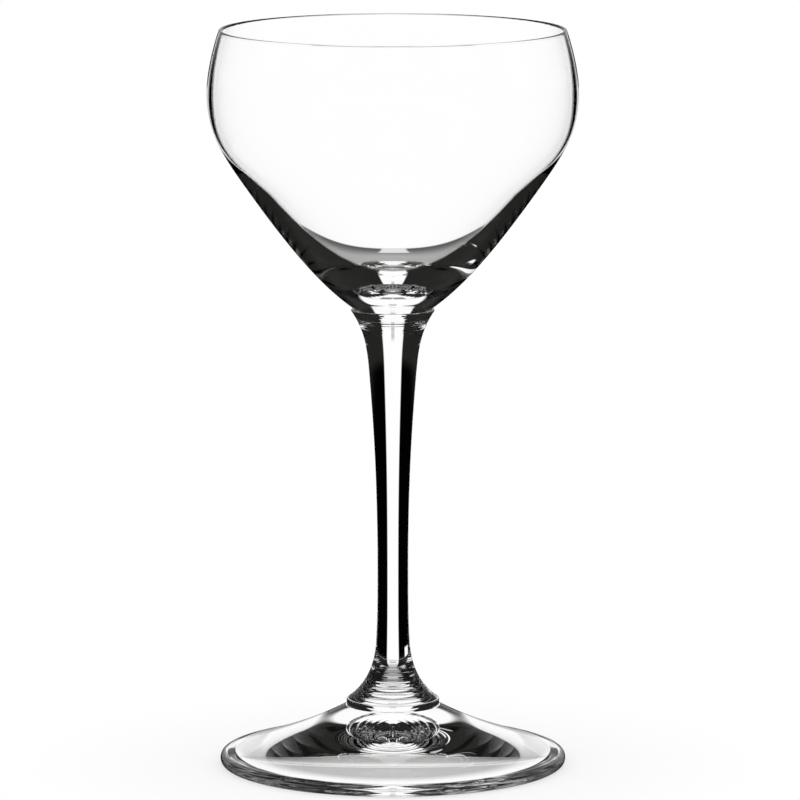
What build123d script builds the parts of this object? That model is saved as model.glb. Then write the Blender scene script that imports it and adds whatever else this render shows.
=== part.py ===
from build123d import *
from math import cos, radians, sin
import os

# Stemmed cocktail glass in clear glass: a blown bowl, a drawn stem and a spun foot, melted
# together end to end at two flat weld faces.
# Millimetres, +Z up along the axis of the glass, origin on the table under the foot.
# A taper or slope is the change of radius over height, and a pull is a curve handle's height.

# Foot
foot_radius = 37.7
foot_height = 13.1
foot_edge_thickness = 2.9
foot_edge_band_count = 6
foot_pad_radius = 10.3
foot_neck_reach = 6.5
foot_neck_fall = 3.5
foot_brim_reach = 12.9
foot_brim_rise = 3.7
foot_rest_width = 2.5
foot_hollow_height = 7.3
foot_hollow_crown = 3.4
foot_hollow_skirt = 16.0
foot_hollow_skirt_rise = 4.0

# Stem
stem_length = 87.1
stem_lip_radius = 9.05
stem_lip_reach = 2.8
stem_lip_fall = 4.2
stem_neck_radius = 5.12
stem_neck_drop = 14.0
stem_neck_taper = 0.08
stem_neck_pull_up = 6.1
stem_neck_pull_down = 14.6
stem_waist_radius = 3.36
stem_waist_height = 30.0
stem_waist_pull_up = 17.7
stem_waist_pull_down = 8.7
stem_ankle_radius = 3.63
stem_ankle_height = 14.2
stem_ankle_taper = 0.05
stem_ankle_pull_up = 3.8
stem_ankle_pull_down = 8.5
stem_base_radius = 10.1
stem_base_edge = 1.2
stem_edge_round = 0.35
stem_edge_band_count = 2

# Bowl, outside
bowl_height = 60.8
bowl_weld_radius = 8.2
bowl_heel_reach = 7.2
bowl_heel_rise = 4.95
bowl_flank_radius = 32.3
bowl_flank_height = 27.4
bowl_flank_slope = 0.70
bowl_flank_pull_up = 7.3
bowl_flank_pull_down = 14.0
bowl_shoulder_radius = 40.15
bowl_shoulder_drop = 13.1
bowl_shoulder_pull_up = 3.74
bowl_shoulder_pull_down = 8.5
bowl_rim_radius = 37.6
bowl_rim_lean = 0.37
bowl_rim_pull = 2.76

# Bowl, inside
bowl_rim_wall = 0.9
bowl_rim_band_count = 4
bowl_shoulder_wall = 1.04
bowl_flank_wall = 1.59
bowl_bore_slope = 0.85
bowl_bore_pull_up = 7.0
bowl_bore_pull_down = 18.75
bowl_bore_shoulder_pull = 8.8
bowl_floor_thickness = 6.15
bowl_floor_reach = 8.16

# Levels of the two weld faces and of the rim
foot_weld_level = foot_height
bowl_weld_level = foot_weld_level + stem_length
rim_level = bowl_weld_level + bowl_height

os.makedirs("parts", exist_ok=True)


def round_edge(center, size, start, turn, bands):
    """Corners of a round edge: even steps of angle, in degrees, about its center."""
    angles = [radians(start + turn * step / bands) for step in range(bands + 1)]
    return [(center[0] + size * cos(angle), center[1] + size * sin(angle)) for angle in angles]


# Foot: a thin spun cone with a round edge. Its top sweeps up to the pad under the stem, and its
# underside is a hollow cone, so that it stands on a narrow flat ring.
foot_edge_round = foot_edge_thickness / 2
foot_brim_radius = foot_radius - foot_edge_round
foot_hollow_radius = foot_brim_radius - foot_rest_width
foot_edge_center = (foot_brim_radius, foot_edge_round)
with BuildPart() as foot:
    with BuildSketch(Plane.XZ):
        with BuildLine():
            Line((0, foot_hollow_height), (0, foot_weld_level))
            Line((0, foot_weld_level), (foot_pad_radius, foot_weld_level))
            Bezier(
                (foot_pad_radius, foot_weld_level),
                (foot_pad_radius + foot_neck_reach, foot_weld_level - foot_neck_fall),
                (foot_brim_radius - foot_brim_reach, foot_edge_thickness + foot_brim_rise),
                (foot_brim_radius, foot_edge_thickness),
            )
            Polyline(*round_edge(foot_edge_center, foot_edge_round, 90, -180, foot_edge_band_count))
            Line((foot_brim_radius, 0), (foot_hollow_radius, 0))
            Bezier(
                (foot_hollow_radius, 0),
                (foot_hollow_radius - foot_hollow_skirt, foot_hollow_skirt_rise),
                (foot_hollow_crown, foot_hollow_height),
                (0, foot_hollow_height),
            )
        make_face()
    revolve(axis=Axis.Z)
foot.part.label = "foot"
export_step(foot.part, "parts/foot.step")

# Stem: a solid rod drawn out of hot glass. It spreads at the top into a lip that carries the
# bowl, narrows to its waist, and spreads again into a round-edged disc on the foot.
lip_face_radius = stem_lip_radius - stem_edge_round
lip_level = bowl_weld_level - stem_edge_round
neck_level = bowl_weld_level - stem_neck_drop
neck_upper_radius = stem_neck_radius + stem_neck_taper * stem_neck_pull_up
neck_lower_radius = stem_neck_radius - stem_neck_taper * stem_neck_pull_down
waist_level = foot_weld_level + stem_waist_height
ankle_level = foot_weld_level + stem_ankle_height
ankle_upper_radius = stem_ankle_radius - stem_ankle_taper * stem_ankle_pull_up
ankle_lower_radius = stem_ankle_radius + stem_ankle_taper * stem_ankle_pull_down
base_edge_level = foot_weld_level + stem_base_edge
base_top_level = base_edge_level + stem_edge_round
base_top_radius = stem_base_radius - stem_edge_round
lip_center = (lip_face_radius, lip_level)
base_center = (base_top_radius, base_edge_level)
with BuildPart() as stem:
    with BuildSketch(Plane.XZ):
        with BuildLine():
            Line((0, foot_weld_level), (0, bowl_weld_level))
            Line((0, bowl_weld_level), (lip_face_radius, bowl_weld_level))
            Polyline(*round_edge(lip_center, stem_edge_round, 90, -90, stem_edge_band_count))
            Bezier(
                (stem_lip_radius, lip_level),
                (stem_lip_radius - stem_lip_reach, lip_level - stem_lip_fall),
                (neck_upper_radius, neck_level + stem_neck_pull_up),
                (stem_neck_radius, neck_level),
            )
            Bezier(
                (stem_neck_radius, neck_level),
                (neck_lower_radius, neck_level - stem_neck_pull_down),
                (stem_waist_radius, waist_level + stem_waist_pull_up),
                (stem_waist_radius, waist_level),
            )
            Bezier(
                (stem_waist_radius, waist_level),
                (stem_waist_radius, waist_level - stem_waist_pull_down),
                (ankle_upper_radius, ankle_level + stem_ankle_pull_up),
                (stem_ankle_radius, ankle_level),
            )
            Bezier(
                (stem_ankle_radius, ankle_level),
                (ankle_lower_radius, ankle_level - stem_ankle_pull_down),
                (base_top_radius, base_top_level),
            )
            Polyline(*round_edge(base_center, stem_edge_round, 90, -90, stem_edge_band_count))
            Line((stem_base_radius, base_edge_level), (stem_base_radius, foot_weld_level))
            Line((stem_base_radius, foot_weld_level), (0, foot_weld_level))
        make_face()
    revolve(axis=Axis.Z)
stem.part.label = "stem"
export_step(stem.part, "parts/stem.step")

# Bowl: blown thin at the shoulder, drawn in a little at the fire-polished rim, and left thick
# in the heel, where the bore runs out in a blunt cone above the weld.
rim_round = bowl_rim_wall / 2
rim_edge_level = rim_level - rim_round
rim_center = (bowl_rim_radius - rim_round, rim_edge_level)
rim_bore = bowl_rim_radius - bowl_rim_wall
rim_pull_level = rim_edge_level - bowl_rim_pull
rim_pull_out = bowl_rim_lean * bowl_rim_pull
shoulder_level = rim_level - bowl_shoulder_drop
shoulder_bore = bowl_shoulder_radius - bowl_shoulder_wall
flank_level = bowl_weld_level + bowl_flank_height
flank_bore = bowl_flank_radius - bowl_flank_wall
flank_upper_radius = bowl_flank_radius + bowl_flank_slope * bowl_flank_pull_up
flank_lower_radius = bowl_flank_radius - bowl_flank_slope * bowl_flank_pull_down
bore_upper_radius = flank_bore + bowl_bore_slope * bowl_bore_pull_up
bore_lower_radius = flank_bore - bowl_bore_slope * bowl_bore_pull_down
floor_level = bowl_weld_level + bowl_floor_thickness
with BuildPart() as bowl:
    with BuildSketch(Plane.XZ):
        with BuildLine():
            Line((0, floor_level), (0, bowl_weld_level))
            Line((0, bowl_weld_level), (bowl_weld_radius, bowl_weld_level))
            Bezier(
                (bowl_weld_radius, bowl_weld_level),
                (bowl_weld_radius + bowl_heel_reach, bowl_weld_level + bowl_heel_rise),
                (flank_lower_radius, flank_level - bowl_flank_pull_down),
                (bowl_flank_radius, flank_level),
            )
            Bezier(
                (bowl_flank_radius, flank_level),
                (flank_upper_radius, flank_level + bowl_flank_pull_up),
                (bowl_shoulder_radius, shoulder_level - bowl_shoulder_pull_down),
                (bowl_shoulder_radius, shoulder_level),
            )
            Bezier(
                (bowl_shoulder_radius, shoulder_level),
                (bowl_shoulder_radius, shoulder_level + bowl_shoulder_pull_up),
                (bowl_rim_radius + rim_pull_out, rim_pull_level),
                (bowl_rim_radius, rim_edge_level),
            )
            Polyline(*round_edge(rim_center, rim_round, 0, 180, bowl_rim_band_count))
            Bezier(
                (rim_bore, rim_edge_level),
                (rim_bore + rim_pull_out, rim_pull_level),
                (shoulder_bore, shoulder_level + bowl_shoulder_pull_up),
                (shoulder_bore, shoulder_level),
            )
            Bezier(
                (shoulder_bore, shoulder_level),
                (shoulder_bore, shoulder_level - bowl_bore_shoulder_pull),
                (bore_upper_radius, flank_level + bowl_bore_pull_up),
                (flank_bore, flank_level),
            )
            Bezier(
                (flank_bore, flank_level),
                (bore_lower_radius, flank_level - bowl_bore_pull_down),
                (bowl_floor_reach, floor_level),
                (0, floor_level),
            )
        make_face()
    revolve(axis=Axis.Z)
bowl.part.label = "bowl"
export_step(bowl.part, "parts/bowl.step")
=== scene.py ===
from math import comb, cos, radians, sin

import bpy
import numpy as np
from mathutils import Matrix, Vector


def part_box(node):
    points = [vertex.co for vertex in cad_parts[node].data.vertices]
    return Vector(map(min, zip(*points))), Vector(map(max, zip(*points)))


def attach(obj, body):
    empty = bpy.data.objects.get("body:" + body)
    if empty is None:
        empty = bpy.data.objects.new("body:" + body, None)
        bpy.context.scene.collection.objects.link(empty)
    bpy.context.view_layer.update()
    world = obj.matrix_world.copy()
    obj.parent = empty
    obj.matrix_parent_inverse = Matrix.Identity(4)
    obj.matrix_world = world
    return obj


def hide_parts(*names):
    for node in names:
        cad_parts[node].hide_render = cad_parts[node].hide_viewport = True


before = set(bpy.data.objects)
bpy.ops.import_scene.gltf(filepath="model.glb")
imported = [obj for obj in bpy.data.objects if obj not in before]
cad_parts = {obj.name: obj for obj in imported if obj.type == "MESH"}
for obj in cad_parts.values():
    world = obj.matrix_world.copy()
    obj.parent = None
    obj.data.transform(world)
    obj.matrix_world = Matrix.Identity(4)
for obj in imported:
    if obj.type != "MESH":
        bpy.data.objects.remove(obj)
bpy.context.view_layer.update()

# Foot
# A gather of clear glass, spun out into a thin cone while soft, so that it stands on a narrow ring.
# The edge is rounded by the flame, and the top is a flat pad that the stem is melted on to.

mm = 0.001
foot_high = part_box("foot")[1]
foot_radius = foot_high[0]
foot_weld = foot_high[2]
foot_weld_radius = 10.1 * mm
foot_pad_radius = 10.3 * mm
foot_neck_reach = 6.5 * mm
foot_neck_fall = 3.5 * mm
foot_edge = 2.9 * mm
foot_brim = foot_radius - foot_edge / 2
foot_brim_reach = 12.9 * mm
foot_brim_rise = 3.7 * mm
foot_rest = 2.5 * mm
foot_bore = foot_brim - foot_rest
foot_hollow = 7.3 * mm
foot_hollow_crown = 3.4 * mm
foot_skirt = 16.0 * mm
foot_skirt_rise = 4.0 * mm
foot_top_steps = 90
foot_edge_steps = 40
foot_hollow_steps = 110
sides_wide = 224
# A curve with two equal handles bulges by this share of their length.
bulge_share = 0.75
foot_edge_pull = foot_edge / 2 / bulge_share
same_point = 1e-7
same_level = 1e-6
sharp_angle = 20.0


def bezier(steps, *handles):
    """Points of a Bezier curve: at even t, the sum of handle i times C(n, i) t^i (1 - t)^(n - i)."""
    n = len(handles) - 1
    t = np.linspace(0.0, 1.0, steps)[:, None]
    weights = np.hstack([comb(n, i) * t**i * (1.0 - t) ** (n - i) for i in range(n + 1)])
    return weights @ np.array(handles)


def outline(*stretches):
    """One (radius, height) line: the stretches end to end, each shared point kept once."""
    points = np.vstack([np.atleast_2d(stretch) for stretch in stretches])
    step = np.linalg.norm(np.diff(points, axis=0), axis=1)
    return points[np.concatenate([[True], step > same_point])]


def turned(name, line, sides, finish, seam, welds):
    """Body of revolution: each point's radius times (cos a, sin a) at even angles a, its height kept.
    The line runs from the axis over the outside and back to the axis, where each end is one pole.
    Flat rings at a weld's height and inside its radius take the seam's finish."""
    angle = np.linspace(0.0, 2.0 * np.pi, sides, endpoint=False)
    radius, height = line[1:-1, 0], line[1:-1, 1]
    rings = np.stack(
        [
            np.outer(radius, np.cos(angle)),
            np.outer(radius, np.sin(angle)),
            np.repeat(height[:, None], sides, axis=1),
        ],
        axis=-1,
    ).reshape(-1, 3)
    poles = np.array([[0.0, 0.0, line[0, 1]], [0.0, 0.0, line[-1, 1]]])
    rows, around = len(radius), np.arange(sides)
    onward = np.roll(around, -1)
    first = np.arange(rows - 1)[:, None] * sides
    quads = np.stack(
        [first + around, first + sides + around, first + sides + onward, first + onward], axis=-1
    ).reshape(-1, 4)
    start, end = rows * sides, rows * sides + 1
    last = (rows - 1) * sides
    caps = np.vstack(
        [
            np.stack([np.full(sides, start), around, onward], axis=-1),
            np.stack([last + around, np.full(sides, end), last + onward], axis=-1),
        ]
    )
    mesh = bpy.data.meshes.new(name)
    mesh.from_pydata(np.vstack([rings, poles]), [], quads.tolist() + caps.tolist())
    mesh.polygons.foreach_set("use_smooth", np.ones(len(mesh.polygons), dtype=bool))
    mesh.set_sharp_from_angle(angle=radians(sharp_angle))
    mesh.materials.append(finish)
    mesh.materials.append(seam)
    centre = np.empty(len(mesh.polygons) * 3)
    mesh.polygons.foreach_get("center", centre)
    centre = centre.reshape(-1, 3)
    reach = np.hypot(centre[:, 0], centre[:, 1])
    melted = np.zeros(len(centre), dtype=np.int32)
    for level, weld_radius in welds:
        melted[(np.abs(centre[:, 2] - level) < same_level) & (reach < weld_radius)] = 1
    mesh.polygons.foreach_set("material_index", melted)
    piece = bpy.data.objects.new(name, mesh)
    bpy.context.scene.collection.objects.link(piece)
    return piece


def fed(tree, socket, source):
    """Lead another node's output into a socket, or set the socket to a constant."""
    if isinstance(source, bpy.types.NodeSocket):
        tree.links.new(source, socket)
    else:
        socket.default_value = source


def joined(tree, kind, settings, *sources):
    """New node of a kind with its settings, fed by the sources in the order of its inputs."""
    node = tree.nodes.new(kind)
    for name, value in settings.items():
        setattr(node, name, value)
    for socket, source in zip(node.inputs, sources):
        fed(tree, socket, source)
    return node


def bare_material(name):
    """New material and its tree, with no nodes but the output."""
    material = bpy.data.materials.new(name)
    material.use_nodes = True
    material.node_tree.nodes.clear()
    material.node_tree.nodes.new("ShaderNodeOutputMaterial")
    return material, material.node_tree


def surfaced(tree, shader):
    """Lead a shader to the tree's output, which is its first node."""
    tree.links.new(shader.outputs[0], tree.nodes[0].inputs["Surface"])


# The mirror's share is Fresnel's to the power of the polish, so that the thin bowl stays clear.
white = (1.0, 1.0, 1.0, 1.0)
glass_ior = 1.52
polish = 2.0
clear_glass, tree = bare_material("clear_glass")
bend = joined(tree, "ShaderNodeBsdfRefraction", {}, white, 0.0, glass_ior)
shine = joined(tree, "ShaderNodeBsdfGlossy", {}, white, 0.0)
grazing = joined(tree, "ShaderNodeFresnel", {}, glass_ior)
share = joined(tree, "ShaderNodeMath", {"operation": "POWER"}, grazing.outputs[0], polish)
glass = joined(tree, "ShaderNodeMixShader", {}, share.outputs[0], bend.outputs[0], shine.outputs[0])
surfaced(tree, glass)
melted_seam, tree = bare_material("melted_seam")
surfaced(tree, joined(tree, "ShaderNodeBsdfTransparent", {}, white))

foot_line = outline(
    (0.0, foot_weld),
    (foot_weld_radius, foot_weld),
    (foot_pad_radius, foot_weld),
    bezier(
        foot_top_steps,
        (foot_pad_radius, foot_weld),
        (foot_pad_radius + foot_neck_reach, foot_weld - foot_neck_fall),
        (foot_brim - foot_brim_reach, foot_edge + foot_brim_rise),
        (foot_brim, foot_edge),
    ),
    bezier(
        foot_edge_steps,
        (foot_brim, foot_edge),
        (foot_brim + foot_edge_pull, foot_edge),
        (foot_brim + foot_edge_pull, 0.0),
        (foot_brim, 0.0),
    ),
    bezier(
        foot_hollow_steps,
        (foot_bore, 0.0),
        (foot_bore - foot_skirt, foot_skirt_rise),
        (foot_hollow_crown, foot_hollow),
        (0.0, foot_hollow),
    ),
)
foot_welds = [(foot_weld, foot_weld_radius)]
foot = turned("foot_glass", foot_line, sides_wide, clear_glass, melted_seam, foot_welds)
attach(foot, "root")
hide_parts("foot")

# Stem
# A solid rod drawn out of hot glass: a lip under the bowl, a slender waist, and a round-edged disc
# where it is melted on to the foot. The tools have left fine rings under the lip and above the disc.

stem_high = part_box("stem")[1]
bowl_weld = stem_high[2]
bowl_weld_radius = 8.2 * mm
edge_round = 0.3 * mm
lip_radius = 9.05 * mm
lip_reach = 2.8 * mm
lip_fall = 4.2 * mm
lip_level = bowl_weld - edge_round
neck_radius = 5.12 * mm
neck_drop = 14.0 * mm
neck_level = bowl_weld - neck_drop
neck_taper = 0.08
neck_pull_up = 6.1 * mm
neck_pull_down = 14.6 * mm
waist_radius = 3.36 * mm
waist_height = 30.0 * mm
waist_level = foot_weld + waist_height
waist_pull_up = 17.7 * mm
waist_pull_down = 8.7 * mm
ankle_radius = 3.63 * mm
ankle_height = 14.2 * mm
ankle_level = foot_weld + ankle_height
ankle_taper = 0.05
ankle_pull_up = 3.8 * mm
ankle_pull_down = 8.5 * mm
base_radius = stem_high[0]
base_edge_height = 1.2 * mm
base_edge = foot_weld + base_edge_height
lip_rings = 4
lip_ring_depth = 0.03 * mm
lip_ring_pitch = 1.2 * mm
lip_ring_start = 0.7 * mm
base_rings = 4
base_ring_depth = 0.05 * mm
base_ring_pitch = 1.5 * mm
base_ring_start = 8.6 * mm
ring_sharpness = 10
edge_steps = 12
lip_steps = 140
neck_steps = 70
waist_steps = 40
base_steps = 280
sides_slim = 160


def ringed(line, depth, pitch, start, rings):
    """Rings pressed in by a tool: each point sinks along its normal by depth times
    cos(pi (s - start) / pitch)^sharpness, s being its length along the line, over so many rings."""
    step = np.linalg.norm(np.diff(line, axis=0), axis=1)
    length = np.concatenate([[0.0], np.cumsum(step)])
    along = np.gradient(line, axis=0)
    normal = np.stack([-along[:, 1], along[:, 0]], axis=1)
    normal /= np.linalg.norm(normal, axis=1)[:, None]
    turn = (length - start) / pitch
    pressed = (turn > -0.5) & (turn < rings - 0.5)
    sunk = depth * pressed * np.cos(np.pi * turn) ** ring_sharpness
    return line - sunk[:, None] * normal


lip_line = bezier(
    lip_steps,
    (lip_radius, lip_level),
    (lip_radius - lip_reach, lip_level - lip_fall),
    (neck_radius + neck_taper * neck_pull_up, neck_level + neck_pull_up),
    (neck_radius, neck_level),
)
base_line = bezier(
    base_steps,
    (ankle_radius, ankle_level),
    (ankle_radius + ankle_taper * ankle_pull_down, ankle_level - ankle_pull_down),
    (base_radius - edge_round, base_edge + edge_round),
)
stem_line = outline(
    (0.0, bowl_weld),
    (bowl_weld_radius, bowl_weld),
    bezier(
        edge_steps,
        (lip_radius - edge_round, bowl_weld),
        (lip_radius, bowl_weld),
        (lip_radius, lip_level),
    ),
    ringed(lip_line, lip_ring_depth, lip_ring_pitch, lip_ring_start, lip_rings),
    bezier(
        neck_steps,
        (neck_radius, neck_level),
        (neck_radius - neck_taper * neck_pull_down, neck_level - neck_pull_down),
        (waist_radius, waist_level + waist_pull_up),
        (waist_radius, waist_level),
    ),
    bezier(
        waist_steps,
        (waist_radius, waist_level),
        (waist_radius, waist_level - waist_pull_down),
        (ankle_radius - ankle_taper * ankle_pull_up, ankle_level + ankle_pull_up),
        (ankle_radius, ankle_level),
    ),
    ringed(base_line, base_ring_depth, base_ring_pitch, base_ring_start, base_rings),
    bezier(
        edge_steps,
        (base_radius - edge_round, base_edge + edge_round),
        (base_radius, base_edge + edge_round),
        (base_radius, base_edge),
    ),
    (base_radius, foot_weld),
    (0.0, foot_weld),
)
stem_welds = [(foot_weld, foot_weld_radius), (bowl_weld, bowl_weld_radius)]
stem = turned("stem_glass", stem_line, sides_slim, clear_glass, melted_seam, stem_welds)
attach(stem, "root")
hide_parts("stem")

# Bowl
# A bubble of clear glass, blown thin at the shoulder and left thick in the heel. The rim is drawn in
# a little, cut, and rounded by the flame.

bowl_low, bowl_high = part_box("bowl")
rim_level = bowl_high[2]
rim_radius = 37.6 * mm
rim_wall = 0.9 * mm
rim_bore = rim_radius - rim_wall
rim_edge = rim_level - rim_wall / 2
rim_edge_pull = rim_wall / 2 / bulge_share
rim_slope = 0.37
rim_pull = 2.76 * mm
rim_lean = rim_slope * rim_pull
shoulder_radius = min(bowl_high[0], -bowl_low[0])
shoulder_wall = 1.04 * mm
shoulder_bore = shoulder_radius - shoulder_wall
shoulder_drop = 13.1 * mm
shoulder_level = rim_level - shoulder_drop
shoulder_pull_up = 3.74 * mm
shoulder_pull_down = 8.5 * mm
shoulder_bore_pull = 8.8 * mm
flank_radius = 32.3 * mm
flank_wall = 1.59 * mm
flank_bore = flank_radius - flank_wall
flank_height = 27.4 * mm
flank_level = bowl_weld + flank_height
flank_slope = 0.70
flank_pull_up = 7.3 * mm
flank_pull_down = 14.0 * mm
bore_slope = 0.85
bore_pull_up = 7.0 * mm
bore_pull_down = 18.75 * mm
bowl_floor_thickness = 6.15 * mm
bowl_floor = bowl_weld + bowl_floor_thickness
bowl_floor_reach = 8.16 * mm
heel_reach = 7.2 * mm
heel_rise = 4.95 * mm
bore_steps = 100
shoulder_steps = 60
collar_steps = 36
rim_steps = 22
flank_steps = 90
bowl_line = outline(
    bezier(
        bore_steps,
        (0.0, bowl_floor),
        (bowl_floor_reach, bowl_floor),
        (flank_bore - bore_slope * bore_pull_down, flank_level - bore_pull_down),
        (flank_bore, flank_level),
    ),
    bezier(
        shoulder_steps,
        (flank_bore, flank_level),
        (flank_bore + bore_slope * bore_pull_up, flank_level + bore_pull_up),
        (shoulder_bore, shoulder_level - shoulder_bore_pull),
        (shoulder_bore, shoulder_level),
    ),
    bezier(
        collar_steps,
        (shoulder_bore, shoulder_level),
        (shoulder_bore, shoulder_level + shoulder_pull_up),
        (rim_bore + rim_lean, rim_edge - rim_pull),
        (rim_bore, rim_edge),
    ),
    bezier(
        rim_steps,
        (rim_bore, rim_edge),
        (rim_bore, rim_edge + rim_edge_pull),
        (rim_radius, rim_edge + rim_edge_pull),
        (rim_radius, rim_edge),
    ),
    bezier(
        collar_steps,
        (rim_radius, rim_edge),
        (rim_radius + rim_lean, rim_edge - rim_pull),
        (shoulder_radius, shoulder_level + shoulder_pull_up),
        (shoulder_radius, shoulder_level),
    ),
    bezier(
        shoulder_steps,
        (shoulder_radius, shoulder_level),
        (shoulder_radius, shoulder_level - shoulder_pull_down),
        (flank_radius + flank_slope * flank_pull_up, flank_level + flank_pull_up),
        (flank_radius, flank_level),
    ),
    bezier(
        flank_steps,
        (flank_radius, flank_level),
        (flank_radius - flank_slope * flank_pull_down, flank_level - flank_pull_down),
        (bowl_weld_radius + heel_reach, bowl_weld + heel_rise),
        (bowl_weld_radius, bowl_weld),
    ),
    (0.0, bowl_weld),
)
bowl_welds = [(bowl_weld, bowl_weld_radius)]
bowl = turned("bowl_glass", bowl_line, sides_wide, clear_glass, melted_seam, bowl_welds)
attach(bowl, "root")
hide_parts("bowl")

# Floor
# A sheet of white paper, lit evenly, which takes a faint shadow round the foot. To the glass it is a
# clear pane over the studio's lights, with painted shade: grey under the foot, standing in for the
# foot's shadow.

floor_half = 6.0
floor_gap = 0.05 * mm
paper_white = (0.95, 0.95, 0.95, 1.0)
contact_shade = 0.35
contact_reach = 90.0 * mm
# Painted shade: the grey that the pane shows to the glass under the foot, paling out between shade_near
# and shade_far.
painted_foot_shade = 0.55
shade_near = 20.5 * mm
shade_far = 30.5 * mm


def ramp(tree, source, start, end, low, high):
    """Smooth step of a value: low up to start, high from end on."""
    settings = {"interpolation_type": "SMOOTHSTEP"}
    return joined(tree, "ShaderNodeMapRange", settings, source, start, end, low, high).outputs[0]


floor_mesh = bpy.data.meshes.new("paper_floor")
corners = np.array([[-1.0, -1.0], [1.0, -1.0], [1.0, 1.0], [-1.0, 1.0]]) * floor_half
floor_mesh.from_pydata(np.insert(corners, 2, -floor_gap, axis=1), [], [(0, 1, 2, 3)])
floor = bpy.data.objects.new("paper_floor", floor_mesh)
bpy.context.scene.collection.objects.link(floor)
paper, tree = bare_material("white_paper")
ray = tree.nodes.new("ShaderNodeLightPath").outputs
place = tree.nodes.new("ShaderNodeTexCoord").outputs["Object"]
reach = joined(tree, "ShaderNodeVectorMath", {"operation": "LENGTH"}, place).outputs["Value"]
contact = ramp(tree, reach, foot_brim, contact_reach, contact_shade, 0.0)
bright = joined(tree, "ShaderNodeEmission", {}, white, 1.0)
matt = joined(tree, "ShaderNodeBsdfDiffuse", {}, paper_white)
sheet = joined(tree, "ShaderNodeMixShader", {}, contact, bright.outputs[0], matt.outputs[0])
# Painted shade for rays from the glass: the clear pane turns grey under the foot.
shade = ramp(tree, reach, shade_near, shade_far, painted_foot_shade, 1.0)
pane = joined(tree, "ShaderNodeBsdfTransparent", {}, shade)
glass_ray = joined(
    tree, "ShaderNodeMath", {"operation": "MAXIMUM"}, ray["Is Glossy Ray"], ray["Is Transmission Ray"]
)
seen = joined(tree, "ShaderNodeMixShader", {}, glass_ray.outputs[0], sheet.outputs[0], pane.outputs[0])
surfaced(tree, seen)
floor_mesh.materials.append(paper)

# Studio
# A white wall behind the glass with black cards beside it, so that the glass draws itself in dark edges
# on white, and narrow white walls for the other sides. Through the heel the table shows grey, with one
# pale glint. All azimuths are degrees from +Y towards +X, and elevations degrees above the horizon.

wall_half = 14.3
wall_low, wall_high = -72.0, 76.0
wall_soft, level_soft = 1.0, 2.0
crown_half, crown_soft = 21.5, 1.5
crown_low = 45.0
side_half, side_soft = 10.0, 1.0
# Azimuth, lowest and highest elevation of each narrow wall.
side_walls = (
    (-45.0, -38.0, -20.0),
    (-90.0, -32.0, 1.5),
    (90.0, -40.0, -8.0),
    (-135.0, -45.0, -7.0),
    (135.0, -36.0, -7.0),
    (180.0, -40.0, -7.0),
)
card_black = (0.0005, 0.0005, 0.0005, 1.0)
card_dim = (0.017, 0.017, 0.016, 1.0)
black_low, black_high = -28.0, -1.0
table_pale = (0.60, 0.60, 0.59, 1.0)
table_edge = -70.0
column_grey = (0.55, 0.55, 0.54, 1.0)
column_half, column_soft = 2.0, 0.8
column_low, column_high = 8.0, 30.0
column_fade, column_fade_soft = 11.0, 4.5
heel_grey = (0.42, 0.42, 0.41, 1.0)
heel_dark = (0.10, 0.10, 0.10, 1.0)
heel_half, heel_soft = 8.0, 1.0
heel_low, heel_high = -45.0, -30.2
heel_far, heel_level_soft = -39.0, 0.5
glint_pale = (0.76, 0.76, 0.75, 1.0)
glint_half, glint_soft = 0.72, 0.1
glint_low, glint_high = -34.0, -30.2
glint_level_soft = 0.3
mirror_table_edge, mirror_table_soft = -38.0, 6.0
mirror_horizon = 0.0
mirror_roof = (0.35, 0.35, 0.34, 1.0)
mirror_roof_edge, mirror_roof_soft = 25.0, 4.0
light_bounces = 32

world = bpy.data.worlds.new("studio")
bpy.context.scene.world = world
world.use_nodes = True
tree = world.node_tree
tree.nodes.clear()
tree.nodes.new("ShaderNodeOutputWorld")
ray = tree.nodes.new("ShaderNodeLightPath").outputs
toward = tree.nodes.new("ShaderNodeTexCoord").outputs["Generated"]
flat = joined(tree, "ShaderNodeVectorMath", {"operation": "MULTIPLY"}, toward, (1.0, 1.0, 0.0))
level = joined(tree, "ShaderNodeVectorMath", {"operation": "NORMALIZE"}, flat.outputs[0]).outputs[0]
rise = joined(tree, "ShaderNodeSeparateXYZ", {}, toward).outputs["Z"]


def height_step(elevation, soft, below, above):
    """Smooth step of a value with the elevation: below up to it, above from it on."""
    start, end = sin(radians(elevation - soft)), sin(radians(elevation + soft))
    return ramp(tree, rise, start, end, below, above)


def times(one, other):
    """Product of two values."""
    return joined(tree, "ShaderNodeMath", {"operation": "MULTIPLY"}, one, other).outputs[0]


def band(low, high, soft):
    """Share that is 1 between two elevations."""
    return times(height_step(low, soft, 0.0, 1.0), height_step(high, soft, 1.0, 0.0))


def sector(azimuth, half_width, soft):
    """Share that is 1 within half_width of an azimuth."""
    heading = (sin(radians(azimuth)), cos(radians(azimuth)), 0.0)
    facing = joined(tree, "ShaderNodeVectorMath", {"operation": "DOT_PRODUCT"}, level, heading)
    outer, inner = cos(radians(half_width + soft)), cos(radians(half_width - soft))
    return ramp(tree, facing.outputs["Value"], outer, inner, 0.0, 1.0)


def blend(share, one, other):
    """Colour from one to the other by a share."""
    mixed = joined(tree, "ShaderNodeMix", {"data_type": "RGBA"}, share)
    colours = [socket for socket in mixed.inputs if socket.type == "RGBA"]
    fed(tree, colours[0], one)
    fed(tree, colours[1], other)
    return next(socket for socket in mixed.outputs if socket.type == "RGBA")


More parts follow.
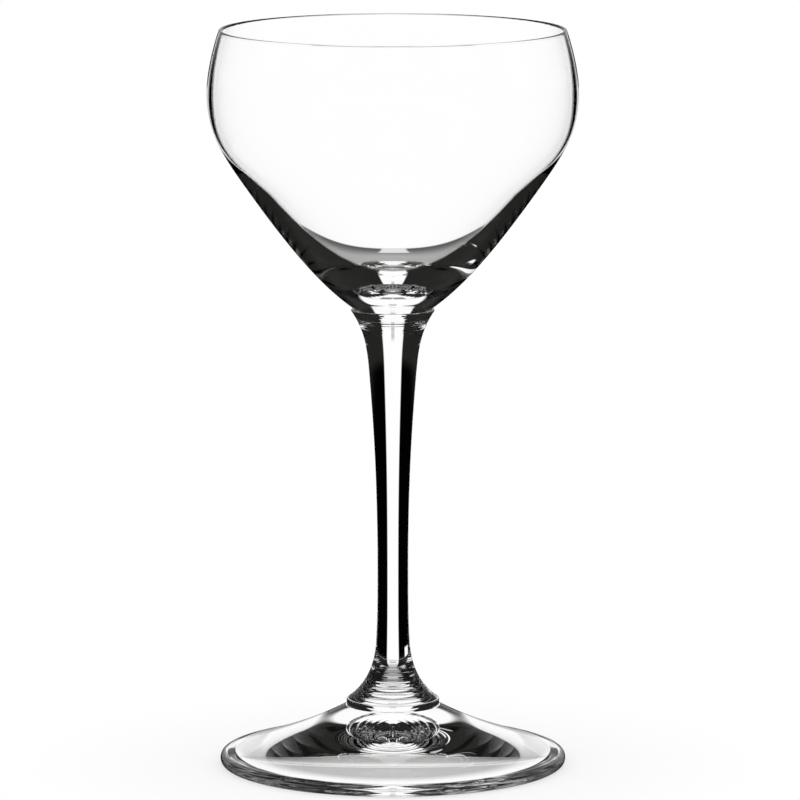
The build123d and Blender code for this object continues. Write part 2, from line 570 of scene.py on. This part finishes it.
cards = blend(band(black_low, black_high, level_soft), card_dim, card_black)
cards = blend(height_step(table_edge, level_soft, 1.0, 0.0), cards, table_pale)
for azimuth, low, high in side_walls:
    side_wall = times(sector(azimuth, side_half, side_soft), band(low, high, side_soft))
    cards = blend(side_wall, cards, white)
back_wall = times(sector(0.0, wall_half, wall_soft), band(wall_low, wall_high, level_soft))
through = blend(back_wall, cards, white)
crown = times(sector(0.0, crown_half, crown_soft), band(crown_low, wall_high, level_soft))
through = blend(crown, through, white)
column_tone = blend(height_step(column_fade, column_fade_soft, 0.0, 1.0), white, column_grey)
column = times(sector(0.0, column_half, column_soft), band(column_low, column_high, level_soft))
through = blend(column, through, column_tone)
heel_middle, heel_fade = (heel_high + heel_far) / 2, (heel_high - heel_far) / 2
heel_tone = blend(height_step(heel_middle, heel_fade, 0.0, 1.0), heel_grey, heel_dark)
heel = times(sector(0.0, heel_half, heel_soft), band(heel_low, heel_high, heel_level_soft))
through = blend(heel, through, heel_tone)
glint = times(sector(0.0, glint_half, glint_soft), band(glint_low, glint_high, glint_level_soft))
through = blend(glint, through, glint_pale)
mirrored = blend(height_step(mirror_table_edge, mirror_table_soft, 1.0, 0.0), card_black, table_pale)
mirrored = blend(height_step(mirror_horizon, level_soft, 0.0, 1.0), mirrored, white)
mirrored = blend(height_step(mirror_roof_edge, mirror_roof_soft, 0.0, 1.0), mirrored, mirror_roof)
studio = blend(ray["Is Glossy Ray"], white, mirrored)
studio = blend(ray["Is Transmission Ray"], studio, through)
surfaced(tree, joined(tree, "ShaderNodeBackground", {}, studio, 1.0))
# Light that the bowl's wall, the heel and the foot's edge trap needs many turns to find its way out.
bpy.context.scene.cycles.glossy_bounces = light_bounces
bpy.context.scene.cycles.max_bounces = light_bounces

# Camera
# A long lens a little above the rim, far enough back that the glass keeps its true proportions. It looks
# down at the glass by the dip, in degrees.

film_width = 36.0
focal_length = 310.2
clip_near, clip_far = 0.01, 50.0
camera_place = (1.55 * mm, -1480.0 * mm, 302.9 * mm)
camera_dip = 8.555

lens = bpy.data.cameras.new("camera")
lens.sensor_width = film_width
lens.lens = focal_length
lens.clip_start = clip_near
lens.clip_end = clip_far
camera = bpy.data.objects.new("camera", lens)
camera.location = camera_place
camera.rotation_euler = (radians(90.0 - camera_dip), 0.0, 0.0)
bpy.context.scene.collection.objects.link(camera)
bpy.context.scene.camera = camera
bpy.context.scene.view_settings.view_transform = "Standard"
